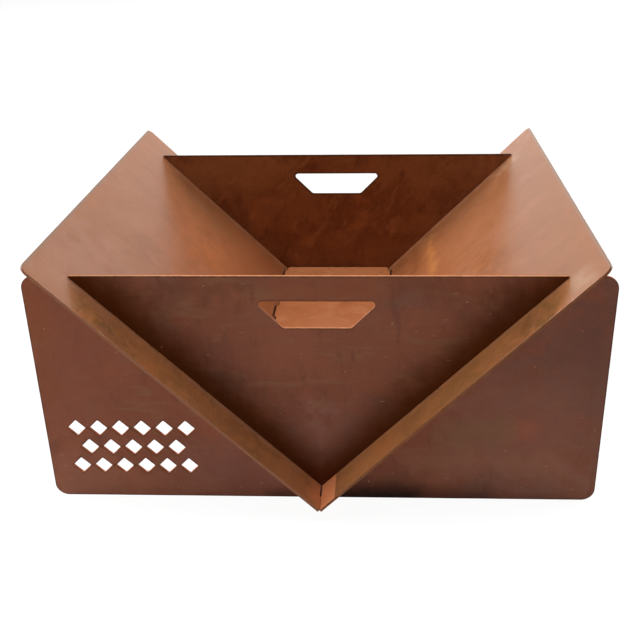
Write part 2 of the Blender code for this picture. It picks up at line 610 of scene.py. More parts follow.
@dataclass(frozen=True)
class Patch(Tone):
    """A box on the plate map with soft, wandering borders."""

    middle: Pair
    half: Pair                     # size from the middle, across and up
    soft: float                    # how far the border fades to each side
    wander: float = 0.6            # of the border, in its softness

    def amount(self, graph: PlateGraph) -> Socket:
        """Product of a soft step across the plate and one up it.

        Args:
            graph: The plate's nodes.

        Returns:
            The cover of each place.
        """
        cover = self.cover
        stray = graph.value("MULTIPLY", graph.stray, self.wander * self.soft)
        for place, middle, half in zip((graph.across, graph.up), self.middle, self.half):
            offset = graph.value("SUBTRACT", place, middle)
            past = graph.value("SUBTRACT", graph.value("ABSOLUTE", offset), half)
            inside = graph.step(graph.value("ADD", past, stray), self.soft, -self.soft)
            cover = graph.value("MULTIPLY", inside, cover)
        return cover


@dataclass(frozen=True)
class Specks(Tone):
    """Small marks, one at most in each cell of a grid with chance centres."""

    cell: float
    size: float                    # radius of a mark
    share: float                   # of the cells that hold one
    long: float = 1                # length of a mark, in its widths
    core: float = 0.4              # share of the radius that is fully covered

    def amount(self, graph: PlateGraph) -> Socket:
        """Step up from a mark's radius to its core, in the cells that hold a mark.

        Args:
            graph: The plate's nodes.

        Returns:
            The cover of each place.
        """
        inputs = {"Vector": graph.stretch(self.long), "Scale": 1 / self.cell}
        dots = graph.node("ShaderNodeTexVoronoi", inputs, voronoi_dimensions="2D")
        radius = self.size / self.cell
        near = graph.step(dots.outputs["Distance"], radius, self.core * radius)
        chance = graph.node("ShaderNodeSeparateColor", {"Color": dots.outputs["Color"]}).outputs
        few = graph.value("LESS_THAN", chance["Red"], self.share)
        strength = graph.value("MULTIPLY", chance["Green"], self.cover)
        return graph.value("MULTIPLY", graph.value("MULTIPLY", near, few), strength)


@dataclass(frozen=True)
class JointShade(Tone):
    """Painted shade: dark colour on an end panel above its two slanted joints with the side panels,
    where the side panels keep the light off it.
    """

    foot: float                    # height where the two joints meet
    slope: float
    reach: float                   # how far it fades out, square to the joint
    wander: float = 0.1            # of its border, in its reach

    def amount(self, graph: PlateGraph) -> Socket:
        """Fade out with the height above the joint, square to it.

        That height is the rise above the foot times the cosine of the slope, less the distance
        from the middle times its sine.

        Args:
            graph: The plate's nodes.

        Returns:
            The cover of each place.
        """
        rise = graph.value("SUBTRACT", graph.up, self.foot)
        rise = graph.value("MULTIPLY", rise, math.cos(self.slope))
        aside = graph.value("MULTIPLY", graph.value("ABSOLUTE", graph.across), math.sin(self.slope))
        height = graph.value("SUBTRACT", rise, aside)
        stray = graph.value("MULTIPLY", graph.stray, self.wander * self.reach)
        fade = graph.step(graph.value("ADD", height, stray), self.reach, 0, 0, self.cover)
        return graph.value("MULTIPLY", fade, graph.value("GREATER_THAN", height, 0))


@dataclass(frozen=True)
class RustFinish:
    """Rust patina of one plate, from broad clouds down to its grain, with some painted light and
    shade.
    """

    name: str
    seed: float                    # where the patterns are read, so that no two plates are alike
    ground: Colour
    rim: Colour                    # line on the faces along the cut edges
    cut: Colour                    # walls of the cut edges
    clouds: tuple[Cloud, ...]
    patches: tuple[Patch | JointShade, ...]
    specks: tuple[Specks, ...]
    edge_patches: tuple[Patch, ...] = ()    # stains and painted shade that cover the cut edges too
    rim_cover: float = 0.5
    rim_width: Pair = (0.0003, 0.0016)    # where the line is full and where it ends
    rim_stray: float = 0.0005
    cut_cover: Pair = (0.7, 1)     # where the walls are most and least stained
    roughness: Pair = (0.25, 0.34)
    shine: float = 0.24
    cut_shine: float = 0.05
    border_size: float = 0.02      # bays and tongues in the borders of the patches
    nibble_size: float = 0.006     # unevenness along the cut edges
    wear_size: float = 0.03        # duller and glossier areas
    grain_size: float = 0.0012
    grain_tone: Pair = (0.90, 1.10)
    flake_size: float = 0.005
    flake_height: float = 1.5      # in heights of the grain
    cut_line: float = 0.0007       # between the lines that the cutter left on the cut walls
    bump_strength: float = 0.5
    bump_depth: float = 0.00012

    def material(self) -> bpy.types.Material:
        """Build the finish's nodes.

        Returns:
            The finished material.
        """
        graph = PlateGraph(self.name, self.border_size)
        colour = self.ground
        for tones in (self.clouds, self.patches, self.specks):
            colour = self.layered(graph, tones, colour)
        colour = self.layered(graph, self.edge_patches, self.edges(graph, colour))
        grain = graph.noise(graph.place, self.grain_size, detail=3)
        worn = graph.noise(graph.place, self.wear_size)
        level = graph.step(grain, *NOISE_SPAN, *self.grain_tone)
        graph.fill(graph.nodes["Principled BSDF"], {
            "Base Color": graph.mix(1, colour, level, "MULTIPLY"),
            "Roughness": graph.step(worn, *NOISE_CORE, *self.roughness),
            "Specular IOR Level": graph.step(graph.wall, 0, 1, self.shine, self.cut_shine),
            "Normal": self.relief(graph, grain),
        })
        return graph.material

    def layered(self, graph: PlateGraph, tones: tuple[Tone, ...], colour: Paint) -> Paint:
        """Lay tones over a colour, one on the other, each with its own piece of the patterns.

        Args:
            graph: The plate's nodes.
            tones: The tones, the lowest first.
            colour: Colour underneath.

        Returns:
            The colour with the tones on it.
        """
        for number, tone in enumerate(tones):
            graph.depth = self.seed + number
            colour = graph.mix(tone.amount(graph), colour, tone.colour)
        return colour

    def edges(self, graph: PlateGraph, colour: Socket) -> Socket:
        """Colour the cut walls and an uneven thin line along them on the faces.

        Args:
            graph: The plate's nodes.
            colour: Colour underneath.

        Returns:
            The colour with its edges.
        """
        nibbles = graph.noise(graph.place, self.nibble_size, detail=3)
        wander = graph.step(nibbles, *NOISE_CORE, -self.rim_stray, self.rim_stray)
        gap = graph.value("ADD", graph.attribute(EDGE_ATTRIBUTE), wander)
        full, end = self.rim_width
        colour = graph.mix(graph.step(gap, end, full, 0, self.rim_cover), colour, self.rim)
        cover = graph.step(nibbles, *NOISE_CORE, *self.cut_cover)
        return graph.mix(graph.value("MULTIPLY", graph.wall, cover), colour, self.cut)

    def relief(self, graph: PlateGraph, grain: Socket) -> Socket:
        """Bump the faces with grain and flakes, and the cut walls with fine lines across them.

        Args:
            graph: The plate's nodes.
            grain: Noise of the grain.

        Returns:
            The bumped normal.
        """
        lines = graph.noise(graph.flat, self.cut_line, detail=1, roughness=0.5)
        lines = graph.value("MULTIPLY", lines, graph.wall)
        flakes = graph.noise(graph.place, self.flake_size)
        flakes = graph.value("MULTIPLY", flakes, self.flake_height)
        height = graph.value("ADD", graph.value("ADD", grain, lines), flakes)
        inputs = {"Strength": self.bump_strength, "Distance": self.bump_depth, "Height": height}
        return graph.node("ShaderNodeBump", inputs).outputs[0]


@dataclass(kw_only=True)
class Plate:
    """A flat plate of steel: drawn flat, cut out, laid in its place and dressed in its rust."""

    name: str
    node: str                      # that the plate stands for
    body: str                      # that it moves with
    slot: str                      # of the record's materials
    seed: int
    bowl: Bowl
    finish: RustFinish
    wear: EdgeWear = EdgeWear()
    edge_step: float = 0.002       # between points along a cut edge
    face_step: float = 0.006       # between points on a face, and from them to the edges
    rings: tuple[tuple[float, int], ...] = ((0.0011, 1), (0.0032, 2))    # inset, steps between
    ring_slack: float = 0.15       # share of its inset by which a ring's point may lie off it

    def loops(self) -> list[Array]:
        """Outer edge first, then the holes, all anticlockwise."""
        raise NotImplementedError

    def place(self) -> tuple[Array, Array]:
        """Where the middle of the drawing lies, and rows for its across, up and normal axes."""
        raise NotImplementedError

    def worn_outlines(self, outlines: list[Array]) -> list[Array]:
        """Outlines along which the faces are worn: all of them, unless a plate says otherwise."""
        return outlines

    def face_points(self, outlines: list[Array], loops: list[Array]) -> Array:
        """Points on a face: two rings beside the cut edges, and a grid over the rest.

        Args:
            outlines: The drawn outlines, with few points.
            loops: The same outlines with points all along them.

        Returns:
            The points, away from the edges and from each other.
        """
        chosen = []
        for inset, every in self.rings:
            ring = np.concatenate([loop + inward(loop) * inset for loop in loops])[::every]
            off = np.abs(distance_to(ring, outlines) - inset)
            chosen.append(ring[in_steel(ring, outlines) & (off < self.ring_slack * inset)])
        low, high = outlines[0].min(0), outlines[0].max(0)
        columns = np.arange(low[0] + self.face_step / 2, high[0], self.face_step)
        rows = np.arange(low[1] + self.face_step / 2, high[1], self.face_step)
        grid = np.stack(np.meshgrid(columns, rows), 2).reshape(-1, 2)
        far = in_steel(grid, outlines) & (distance_to(grid, outlines) > self.face_step)
        return np.concatenate([*chosen, grid[far]])

    def triangles(self, rims: list[Array], inside: Array, outlines: list[Array]) -> Array:
        """Join the rims and the points between them with triangles, and keep those on steel.

        Args:
            rims: Where the face meets each edge.
            inside: Points on the face.
            outlines: The drawn outlines.

        Returns:
            Rows of three indices, anticlockwise.
        """
        points = np.concatenate([*rims, inside])
        ahead = following(rims)
        edges = np.stack([np.arange(len(ahead)), ahead], 1)
        found, _, faces, *_ = delaunay_2d_cdt(
            points.tolist(), edges.tolist(), [], 0, FILL_TOLERANCE, False)
        if len(found) != len(points) or not np.allclose(found, points, atol=FILL_DRIFT):
            raise ValueError(f"{self.name}: the points of a face moved while it was filled")
        faces = np.array(faces)
        a, b, c = (points[faces[:, k]] for k in range(3))
        turn = (b - a)[:, 0] * (c - a)[:, 1] - (b - a)[:, 1] * (c - a)[:, 0]
        faces = np.where(turn[:, None] < 0, faces[:, ::-1], faces)
        return faces[in_steel((a + b + c) / 3, outlines)]

    def build(self) -> bpy.types.Object:
        """Make the plate, with its plate map and its edge attributes.

        Its cut walls join the edges' profiles, and its faces fill what the profiles leave open.

        Returns:
            The new object, at the origin, with its place in its mesh.
        """
        random = np.random.default_rng(self.seed)
        outer, *holes = self.loops()
        outlines = [outer, *(hole[::-1] for hole in holes)]    # with the steel on their left
        loops = [filled_in(outline, self.edge_step) for outline in outlines]
        sections = [self.wear.section(loop, self.bowl.thickness, random) for loop in loops]
        inside = self.face_points(outlines, loops)
        fill = self.triangles([section[:, 0, :2] for section in sections], inside, outlines)

        rim = np.concatenate(sections)
        count, width, _ = rim.shape
        number = np.arange(count * width).reshape(count, width)
        ahead = number[following(sections)]
        walls = np.stack([number[:, :-1], number[:, 1:], ahead[:, 1:], ahead[:, :-1]], 2)
        upper, lower = count * width + np.arange(2 * len(inside)).reshape(2, -1)
        above, below = np.append(number[:, 0], upper), np.append(number[:, -1], lower)
        faces = np.concatenate([above[fill], below[fill][:, ::-1]])
        half = np.full((len(inside), 1), self.bowl.thickness / 2)
        points = np.concatenate([rim.reshape(-1, 3), np.hstack([inside, half]),
                                 np.hstack([inside, -half])])

        origin, axes = self.place()
        mesh = self.make_mesh(origin + points @ axes, walls.reshape(-1, 4), faces)
        self.add_map(mesh, points[:, :2])
        gaps = distance_to(points[:, :2], self.worn_outlines(outlines))
        self.add_values(mesh, EDGE_ATTRIBUTE, gaps)
        profile = np.zeros(width)
        profile[self.wear.arc_steps - 1:width - self.wear.arc_steps + 1] = 1
        cut = np.append(np.tile(profile, count), np.zeros(2 * len(inside)))
        self.add_values(mesh, CUT_ATTRIBUTE, cut)
        return in_scene(self.name, mesh)

    def make_mesh(self, points: Array, quads: Array, triangles: Array) -> bpy.types.Mesh:
        """Put arrays of points, four-sided and three-sided faces into a smooth mesh.

        Args:
            points: Places of the vertices.
            quads: Four-sided faces.
            triangles: Three-sided faces.

        Returns:
            The mesh.
        """
        mesh = bpy.data.meshes.new(self.name)
        corners = np.concatenate([quads.ravel(), triangles.ravel()]).astype(np.int32)
        sides = np.concatenate([np.full(len(quads), 4), np.full(len(triangles), 3)])
        mesh.vertices.add(len(points))
        mesh.vertices.foreach_set("co", points.astype(np.float32).ravel())
        mesh.loops.add(len(corners))
        mesh.loops.foreach_set("vertex_index", corners)
        mesh.polygons.add(len(sides))
        mesh.polygons.foreach_set("loop_start", (np.cumsum(sides) - sides).astype(np.int32))
        mesh.update(calc_edges=True)
        mesh.shade_smooth()
        return mesh

    def add_map(self, mesh: bpy.types.Mesh, flat: Array) -> None:
        """Store each vertex's place on the flat plate as a UV map.

        Args:
            mesh: The plate's mesh.
            flat: Metres across and up, for each vertex.
        """
        corners = np.zeros(len(mesh.loops), np.int32)
        mesh.loops.foreach_get("vertex_index", corners)
        layer = mesh.uv_layers.new(name=PLATE_MAP)
        layer.uv.foreach_set("vector", flat[corners].astype(np.float32).ravel())

    def add_values(self, mesh: bpy.types.Mesh, name: str, values: Array) -> None:
        """Store one number for each vertex as an attribute."""
        attribute = mesh.attributes.new(name, "FLOAT", "POINT")
        attribute.data.foreach_set("value", values.astype(np.float32))

    def dress(self, piece: bpy.types.Object) -> None:
        """Give the plate its rust, and let it stand for its node and ride on its body.

        Args:
            piece: The plate's object.
        """
        piece.data.materials.append(self.finish.material())
        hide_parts(self.node)
        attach(piece, self.body)

    def off_node(self, piece: bpy.types.Object) -> float:
        """Farthest that a side of the plate's box lies from the same side of its node's box.

        Args:
            piece: The plate's object.

        Returns:
            The distance.
        """
        low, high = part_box(self.node)
        corners = np.array([corner[:] for corner in piece.bound_box])
        return max(np.abs(corners.min(0) - low).max(), np.abs(corners.max(0) - high).max())


@dataclass(kw_only=True)
class EndPanel(Plate):
    """Upright end panel: two slots from its top edge, a hand hole, and cuts in the front one."""

    end: End
    body: str = "end_panels"
    slot: str = "end_panel_steel"
    corner: float = 0.014
    mouth_round: float = 0.0008
    hole_below_top: float = 0.0275
    hole_width: float = 0.130
    hole_height: float = 0.030
    hole_slant: float = math.radians(45)
    hole_corner: float = 0.004
    diamond_rows: int = 3
    diamond_columns: int = 6       # one fewer in every other row
    diamond_pitch: float = 0.024
    diamond_bridge: float = 0.004
    diamond_corner: float = 0.0008
    cuts_from_side: float = 0.024
    cuts_from_foot: float = 0.030

    def outer_edge(self) -> Array:
        """Rectangle with round corners and a slanted slot down from its top edge on each side.

        Returns:
            Points of the outline.
        """
        bowl = self.bowl
        end = bowl.joint_middle - bowl.clearance / 2
        near, far = -bowl.clearance, bowl.thickness + bowl.clearance
        return symmetric([
            (bowl.end_half_width, 0, self.corner),
            (bowl.end_half_width, bowl.end_height, self.corner),
            (*bowl.section_at_height(bowl.end_height, far), self.mouth_round),
            (*bowl.section(end, far), 0),
            (*bowl.section(end, near), 0),
            (*bowl.section_at_height(bowl.end_height, near), self.mouth_round),
        ])

    def hand_hole(self) -> Array:
        """Trapezoid with its long side up.

        Returns:
            Points of the outline.
        """
        top = self.bowl.end_height - self.hole_below_top
        half_top = self.hole_width / 2
        half_bottom = half_top - self.hole_height / math.tan(self.hole_slant)
        return symmetric([(half_bottom, top - self.hole_height, self.hole_corner),
                          (half_top, top, self.hole_corner)])

    def diamonds(self) -> list[Array]:
        """Staggered rows of diamonds in the lower left wing.

        Returns:
            One outline for each diamond.
        """
        reach = (self.diamond_pitch - self.diamond_bridge) / 2
        first_x = -self.bowl.end_half_width + self.cuts_from_side + reach
        first_z = self.cuts_from_foot + reach
        cuts = []
        for row in range(self.diamond_rows):
            for column in range(self.diamond_columns - row % 2):
                x = first_x + (column + row % 2 / 2) * self.diamond_pitch
                z = first_z + row * self.diamond_pitch
                points = [(x, z - reach), (x + reach, z), (x, z + reach), (x - reach, z)]
                cuts.append(rounded([(*point, self.diamond_corner) for point in points]))
        return cuts

    def loops(self) -> list[Array]:
        """Outer edge, hand hole and, at the front, the diamonds."""
        cuts = self.diamonds() if self.end is End.FRONT else []
        return [self.outer_edge(), self.hand_hole(), *cuts]

    def worn_outlines(self, outlines: list[Array]) -> list[Array]:
        """Plain rounded plate and its holes, without the slots, which the side panels hide.

        Args:
            outlines: The drawn outlines, the outer edge first.

        Returns:
            The outlines that are open to wear.
        """
        half, top = self.bowl.end_half_width, self.bowl.end_height
        plain = symmetric([(half, 0, self.corner), (half, top, self.corner)])
        return [plain, *outlines[1:]]

    def place(self) -> tuple[Array, Array]:
        """Stand the plate across the bowl, facing the front.

        Returns:
            Its middle and its axes.
        """
        middle = self.bowl.half_length + self.bowl.thickness / 2
        axes = np.array([(1, 0, 0), (0, 0, 1), (0, -1, 0)])
        return np.array([0, self.end.value * middle, 0]), axes


@dataclass(kw_only=True)
class SidePanel(Plate):
    """Sloping side panel: two slots from its bottom edge, and slots for the floor's tabs."""

    side: Side
    slot: str = "side_panel_steel"
    corner: float = 0.010
    mouth_round: float = 0.0008
    land: float = 0.024            # end of the bottom edge that meets the other panel
    relief: float = 0.0011         # bottom edge cut back between the lands
    burr: float = 0.0004           # by which a land's edge closes the gap to the other panel
    tab_play: float = 0.0005       # at each end of a tab in its slot

    def outer_edge(self) -> Array:
        """Panel seen square on, across it along the bowl and up it up the slope.

        Returns:
            Points of the outline.
        """
        bowl = self.bowl
        half = bowl.side_half_length
        near = bowl.half_length - bowl.clearance
        far = bowl.half_length + bowl.thickness + bowl.clearance
        end = bowl.joint_middle + bowl.clearance / 2
        return symmetric([
            (near, self.relief, self.mouth_round),
            (near, end, 0),
            (far, end, 0),
            (far, self.relief, self.mouth_round),
            (half - self.land, self.relief, 0),
            (half - self.land, -self.burr, 0),
            (half, -self.burr, 0),
            (half, bowl.side_run, self.corner),
        ])

    def tab_slots(self) -> list[Array]:
        """Slots that the floor's tabs drop into.

        Returns:
            One outline for each slot.
        """
        bowl = self.bowl
        low = (bowl.floor_height - bowl.clearance - bowl.valley) / math.sin(bowl.slope)
        high = (bowl.tab_end + bowl.clearance - bowl.side_start) / math.cos(bowl.slope)
        half = bowl.tab_length / 2 + self.tab_play
        return [np.array([(y - half, low), (y + half, low), (y + half, high), (y - half, high)])
                for y in bowl.tab_middles]

    def loops(self) -> list[Array]:
        """Outer edge and the slots for the tabs."""
        return [self.outer_edge(), *self.tab_slots()]

    def place(self) -> tuple[Array, Array]:
        """Lay the plate on its slope, with its normal outwards and down.

        Returns:
            Its bottom middle and its axes.
        """
        x, z = self.bowl.section(0, self.bowl.thickness / 2)
        cosine, sine = math.cos(self.bowl.slope), math.sin(self.bowl.slope)
        sign = self.side.value
        axes = np.array([(0, sign, 0), (sign * cosine, 0, sine), (sign * sine, 0, -cosine)])
        return np.array([sign * x, 0, z]), axes


@dataclass(kw_only=True)
class FloorPlate(Plate):
    """Level floor of the bowl, with tabs in the side panels' slots."""

    slot: str = "base_plate_steel"
    corner: float = 0.005
    tab_reach: float = 0.005       # past the plate's long edge
    tab_corner: float = 0.0015

    def loops(self) -> list[Array]:
        """Outline from above, across it along X and up it along Y.

        Returns:
            The outline alone.
        """
        bowl = self.bowl
        end = bowl.floor_half_length
        edge = bowl.tab_end - self.tab_reach
        right = [(edge, -end, self.corner)]
        for middle in bowl.tab_middles:
            start, stop = middle - bowl.tab_length / 2, middle + bowl.tab_length / 2
            right += [(edge, start, 0), (bowl.tab_end, start, self.tab_corner),
                      (bowl.tab_end, stop, self.tab_corner), (edge, stop, 0)]
        return [symmetric([*right, (edge, end, self.corner)])]

    def place(self) -> tuple[Array, Array]:
        """Level, with its normal up."""
        height = self.bowl.floor_height + self.bowl.thickness / 2
        return np.array([0, 0, height]), np.eye(3)


@dataclass(frozen=True)
class Lamp:
    """Soft rectangular lamp."""

    name: str
    place: Place
    size: Pair
    power: float
    aim: Place = (0, 0, 0.12)

    def hang(self) -> None:
        """Hang the lamp so that it faces its aim."""
        light = bpy.data.lights.new(self.name, "AREA")
        light.shape = "RECTANGLE"
        light.size, light.size_y = self.size
        light.energy = self.power
        holder = in_scene(self.name, light)
        holder.location = self.place
        direction = Vector(self.aim) - Vector(self.place)
        holder.rotation_euler = direction.to_track_quat("-Z", "Y").to_euler()


@dataclass(frozen=True)
class Studio:
    """Bright pale floor, soft light from overhead and from both sides, and the camera."""

    floor_radius: float = 7.0
    floor_sides: int = 96
    floor_colour: Colour = (0.80, 0.80, 0.80)
    floor_roughness: float = 0.9
    floor_shine: float = 0.1
    floor_glow: float = 0.27       # light that the bright floor adds all round the bowl
    floor_cover: float = 0.86      # how far the floor shows as white in camera and reflections
    floor_white: float = 1.06      # level of that white, so that the rest doesn't dim it
    lamps: tuple[Lamp, ...] = (
        Lamp("overhead_softbox", (-0.30, -0.35, 2.1), (1.2, 1.0), 22),
        Lamp("left_wall", (-2.6, 0, 1.3), (5.0, 2.6), 40),
        Lamp("left_wall_behind", (-2.6, 1.7, 1.3), (3.0, 2.6), 164, (0, 1.7, 1.3)),
        Lamp("right_wall_behind", (2.6, 1.7, 1.3), (3.0, 2.6), 157, (0, 1.7, 1.3)),
    )
    camera_place: Place = (0.06479, -1.07696, 0.62057)
    camera_turn: float = 0.04742   # radians, to the left
    camera_tilt: float = -0.44139  # radians, down
    camera_roll: float = -0.01754
    camera_lens: float = 52.05
    camera_sensor: float = 36.0
    camera_shift: float = -0.03275

    def add_floor(self) -> None:
        """Lay a wide round floor that keeps the bowl's shadow and shows white.

        Camera, glossy and transmission rays see the floor's own paint mixed with plain white.
        """
        angles = np.linspace(0, 2 * math.pi, self.floor_sides + 1)[:-1]
        ring = self.floor_radius * np.stack([np.cos(angles), np.sin(angles), 0 * angles], 1)
        mesh = bpy.data.meshes.new("studio_floor")
        mesh.from_pydata(ring.tolist(), [], [list(range(len(ring)))])
        paint = bpy.data.materials.new("studio_floor_paint")
        graph = Graph(paint)
        plain = graph.nodes["Principled BSDF"]
        graph.fill(plain, {
            "Base Color": (*self.floor_colour, 1),
            "Roughness": self.floor_roughness,
            "Specular IOR Level": self.floor_shine,
            "Emission Color": (1, 1, 1, 1),
            "Emission Strength": self.floor_glow,
        })
        rays = graph.node("ShaderNodeLightPath", {}).outputs
        seen = rays["Is Camera Ray"]
        for name in ("Is Glossy Ray", "Is Transmission Ray"):
            seen = graph.value("MAXIMUM", seen, rays[name])
        cover = graph.value("MULTIPLY", seen, self.floor_cover)
        white = graph.node("ShaderNodeEmission", {"Strength": self.floor_white}).outputs[0]
        mixed = graph.node("ShaderNodeMixShader", {0: cover, 1: plain.outputs[0], 2: white})
        graph.fill(graph.nodes["Material Output"], {"Surface": mixed.outputs[0]})
        mesh.materials.append(paint)
        in_scene("studio_floor", mesh)

    def add_backdrop(self) -> None:
        """White all around for the camera and in reflections, and no light otherwise."""
        world = bpy.data.worlds.new("studio_backdrop")
        graph = Graph(world)
        diffuse = graph.node("ShaderNodeLightPath", {}).outputs["Is Diffuse Ray"]
        strength = graph.value("SUBTRACT", 1, diffuse)
        graph.fill(graph.nodes["Background"], {"Color": (1, 1, 1, 1), "Strength": strength})
        bpy.context.scene.world = world

    def add_camera(self) -> None:
        """Camera above the front of the bowl, looking down at it."""
        camera = bpy.data.cameras.new("camera")
        camera.lens = self.camera_lens
        camera.sensor_width = self.camera_sensor
        camera.shift_x = self.camera_shift
        holder = in_scene("camera", camera)
        holder.location = self.camera_place
        turn = Euler((0, 0, self.camera_turn)).to_matrix()
        tilt = Euler((math.pi / 2 + self.camera_tilt, 0, 0)).to_matrix()
        roll = Euler((0, 0, self.camera_roll)).to_matrix()
        holder.rotation_euler = (turn @ tilt @ roll).to_euler()
        bpy.context.scene.camera = holder

    def set_up(self) -> None:
        """Build the studio."""
        self.add_floor()
        self.add_backdrop()
        for lamp in self.lamps:
            lamp.hang()
        self.add_camera()
        bpy.context.scene.view_settings.view_transform = "Standard"


TAB_SHADE = 0.001               # by which the painted shade of the tabs' slots spreads onto the floor
FINE_SPECKS = Specks((0.15, 0.055, 0.03), 0.7, cell=0.014, size=0.0007, share=0.15)


def front_rust(bowl: Bowl) -> RustFinish:
    """Dark brown rust, with painted shade above the joints and a painted shadow along the foot,
    mostly on the right.

    Args:
        bowl: Where the joints with the side panels lie.

    Returns:
        The finish of the front plate.
    """
    return RustFinish(
        name="front_plate_rust",
        seed=1.3,
        ground=(0.268, 0.090, 0.050),
        rim=(0.060, 0.026, 0.016),
        rim_cover=0.5,
        rim_width=(0.0007, 0.0019),
        cut=(0.660, 0.262, 0.112),
        shine=0.05,
        clouds=(
            Cloud((0.223, 0.078, 0.047), 0.9, size=0.13, levels=(0.50, 0.66), warp=0.3),
            Cloud((0.336, 0.104, 0.052), 0.9, size=0.06, levels=(0.50, 0.68)),
            Cloud((0.234, 0.104, 0.071), 0.8, size=0.07, levels=(0.52, 0.70)),
            Cloud((0.291, 0.132, 0.066), 0.6, size=0.012, levels=(0.50, 0.70), long=4),
            Cloud((0.184, 0.068, 0.044), 0.6, size=0.012, levels=(0.54, 0.74), long=3,
                  turn=UP_THE_PLATE),
            Cloud((0.336, 0.134, 0.086), 0.5, size=0.004, levels=(0.60, 0.76), long=2),
        ),
        patches=(    # colour, cover, middle, half size and softness, and the border's wander
            # Painted light and shade: the left wing lighter and the top of the right wing darker,
            # as the light falls from the left.
            Patch((0.316, 0.102, 0.059), 0.6, (-0.270, 0.160), (0.050, 0.090), 0.05),
            Patch((0.346, 0.128, 0.074), 0.6, (-0.260, 0.030), (0.050, 0.035), 0.03),
            Patch((0.194, 0.084, 0.062), 0.75, (0.265, 0.200), (0.050, 0.060), 0.05),
            Patch((0.286, 0.120, 0.082), 0.6, (0.220, 0.090), (0.080, 0.060), 0.04),
            Patch((0.350, 0.142, 0.084), 0.6, (0.180, 0.045), (0.090, 0.016), 0.02),
            Patch((0.286, 0.112, 0.080), 0.7, (-0.100, 0.035), (0.060, 0.028), 0.03),
            Patch((0.276, 0.116, 0.084), 0.6, (0.030, 0.080), (0.035, 0.030), 0.03),
            Patch((0.271, 0.134, 0.066), 0.6, (0.165, 0.086), (0.045, 0.012), 0.016),
            Patch((0.372, 0.116, 0.068), 0.7, (0.222, 0.088), (0.010, 0.018), 0.012),
            Patch((0.321, 0.106, 0.056), 0.6, (-0.030, 0.190), (0.030, 0.040), 0.03),
            Patch((0.271, 0.112, 0.062), 0.5, (-0.080, 0.252), (0.035, 0.008), 0.012),
            Patch((0.290, 0.080, 0.034), 0.6, (0.010, 0.251), (0.060, 0.010), 0.012),
            # Painted shade along the top inside the V, beside the side panels.
            Patch((0.170, 0.052, 0.024), 0.5, (-0.160, 0.252), (0.100, 0.010), 0.02),
            Patch((0.190, 0.054, 0.022), 0.45, (0.160, 0.252), (0.080, 0.010), 0.02),
            Patch((0.180, 0.074, 0.048), 0.4, (0.288, 0.160), (0.012, 0.100), 0.03),
            Patch((0.270, 0.084, 0.034), 0.5, (-0.290, 0.200), (0.010, 0.080), 0.02),
            Patch((0.350, 0.140, 0.085), 0.5, (-0.200, 0.012), (0.090, 0.020), 0.02),
            Patch((0.310, 0.140, 0.098), 0.4, (0.250, 0.015), (0.050, 0.020), 0.02),
            Patch((0.370, 0.165, 0.120), 0.6, (0, 0.065), (0.030, 0.035), 0.03),
            # Painted shadow along the foot beside the middle, strongest on the right.
            Patch((0.010, 0.004, 0.001), 0.95, (0.050, 0), (0.058, 0.015), 0.018, 0.15),
            Patch((0.020, 0.008, 0.004), 0.5, (0.100, 0), (0.090, 0.009), 0.016, 0.15),
            Patch((0.020, 0.008, 0.004), 0.2, (0.140, 0), (0.110, 0.003), 0.009, 0.15),
            Patch((0.030, 0.010, 0.005), 0.6, (-0.030, 0), (0.030, 0.008), 0.010, 0.3),
            # Painted shade above the joints with the side panels.
            JointShade((0.086, 0.021, 0.002), 0.92, foot=bowl.valley, slope=bowl.slope,
                       reach=0.056),
        ),
        specks=(
            FINE_SPECKS,
            Specks((0.60, 0.38, 0.26), 0.8, cell=0.024, size=0.0010, share=0.16),
            Specks((0.42, 0.22, 0.13), 0.7, cell=0.014, size=0.0008, share=0.16, long=5),
        ),
        edge_patches=(
            # Painted shade on the hand hole's slanted sides, stronger on the left.
            Patch((0.280, 0.102, 0.058), 0.85, (-0.053, 0.225), (0.014, 0.013), 0.004),
            Patch((0.280, 0.102, 0.058), 0.45, (0.053, 0.225), (0.014, 0.013), 0.004),
        ),
    )


# Blotchy rust of the back plate, darkest low in its middle.
BACK_RUST = RustFinish(
    name="back_plate_rust",
    seed=7.9,
    ground=(0.215, 0.066, 0.020),
    rim=(0.060, 0.018, 0.006),
    rim_cover=0.8,
    rim_width=(0.0012, 0.0025),
    cut=(0.080, 0.025, 0.009),
    shine=0.2,
    clouds=(
        Cloud((0.150, 0.040, 0.011), 0.9, size=0.08, levels=(0.46, 0.62)),
        Cloud((0.310, 0.108, 0.036), 0.7, size=0.018, levels=(0.50, 0.72), long=2.5,
              turn=math.radians(50), detail=6, warp=1.2),
        Cloud((0.115, 0.031, 0.009), 0.75, size=0.014, levels=(0.52, 0.74), long=2.5,
              turn=math.radians(75), detail=6, warp=1.2),
        Cloud((0.290, 0.085, 0.022), 0.6, size=0.05, levels=(0.52, 0.70)),
        Cloud((0.300, 0.110, 0.044), 0.25, size=0.005, levels=(0.56, 0.72), long=2),
    ),
    patches=(
        Patch((0.295, 0.106, 0.034), 0.7, (-0.150, 0.245), (0.080, 0.025), 0.04),
        Patch((0.280, 0.100, 0.034), 0.5, (0.150, 0.245), (0.070, 0.025), 0.04),
        Patch((0.140, 0.040, 0.011), 0.7, (0, 0.105), (0.090, 0.022), 0.04),
    ),
    specks=(
        FINE_SPECKS,
        Specks((0.38, 0.18, 0.10), 0.6, cell=0.030, size=0.0009, share=0.2, long=2),
    ),
)


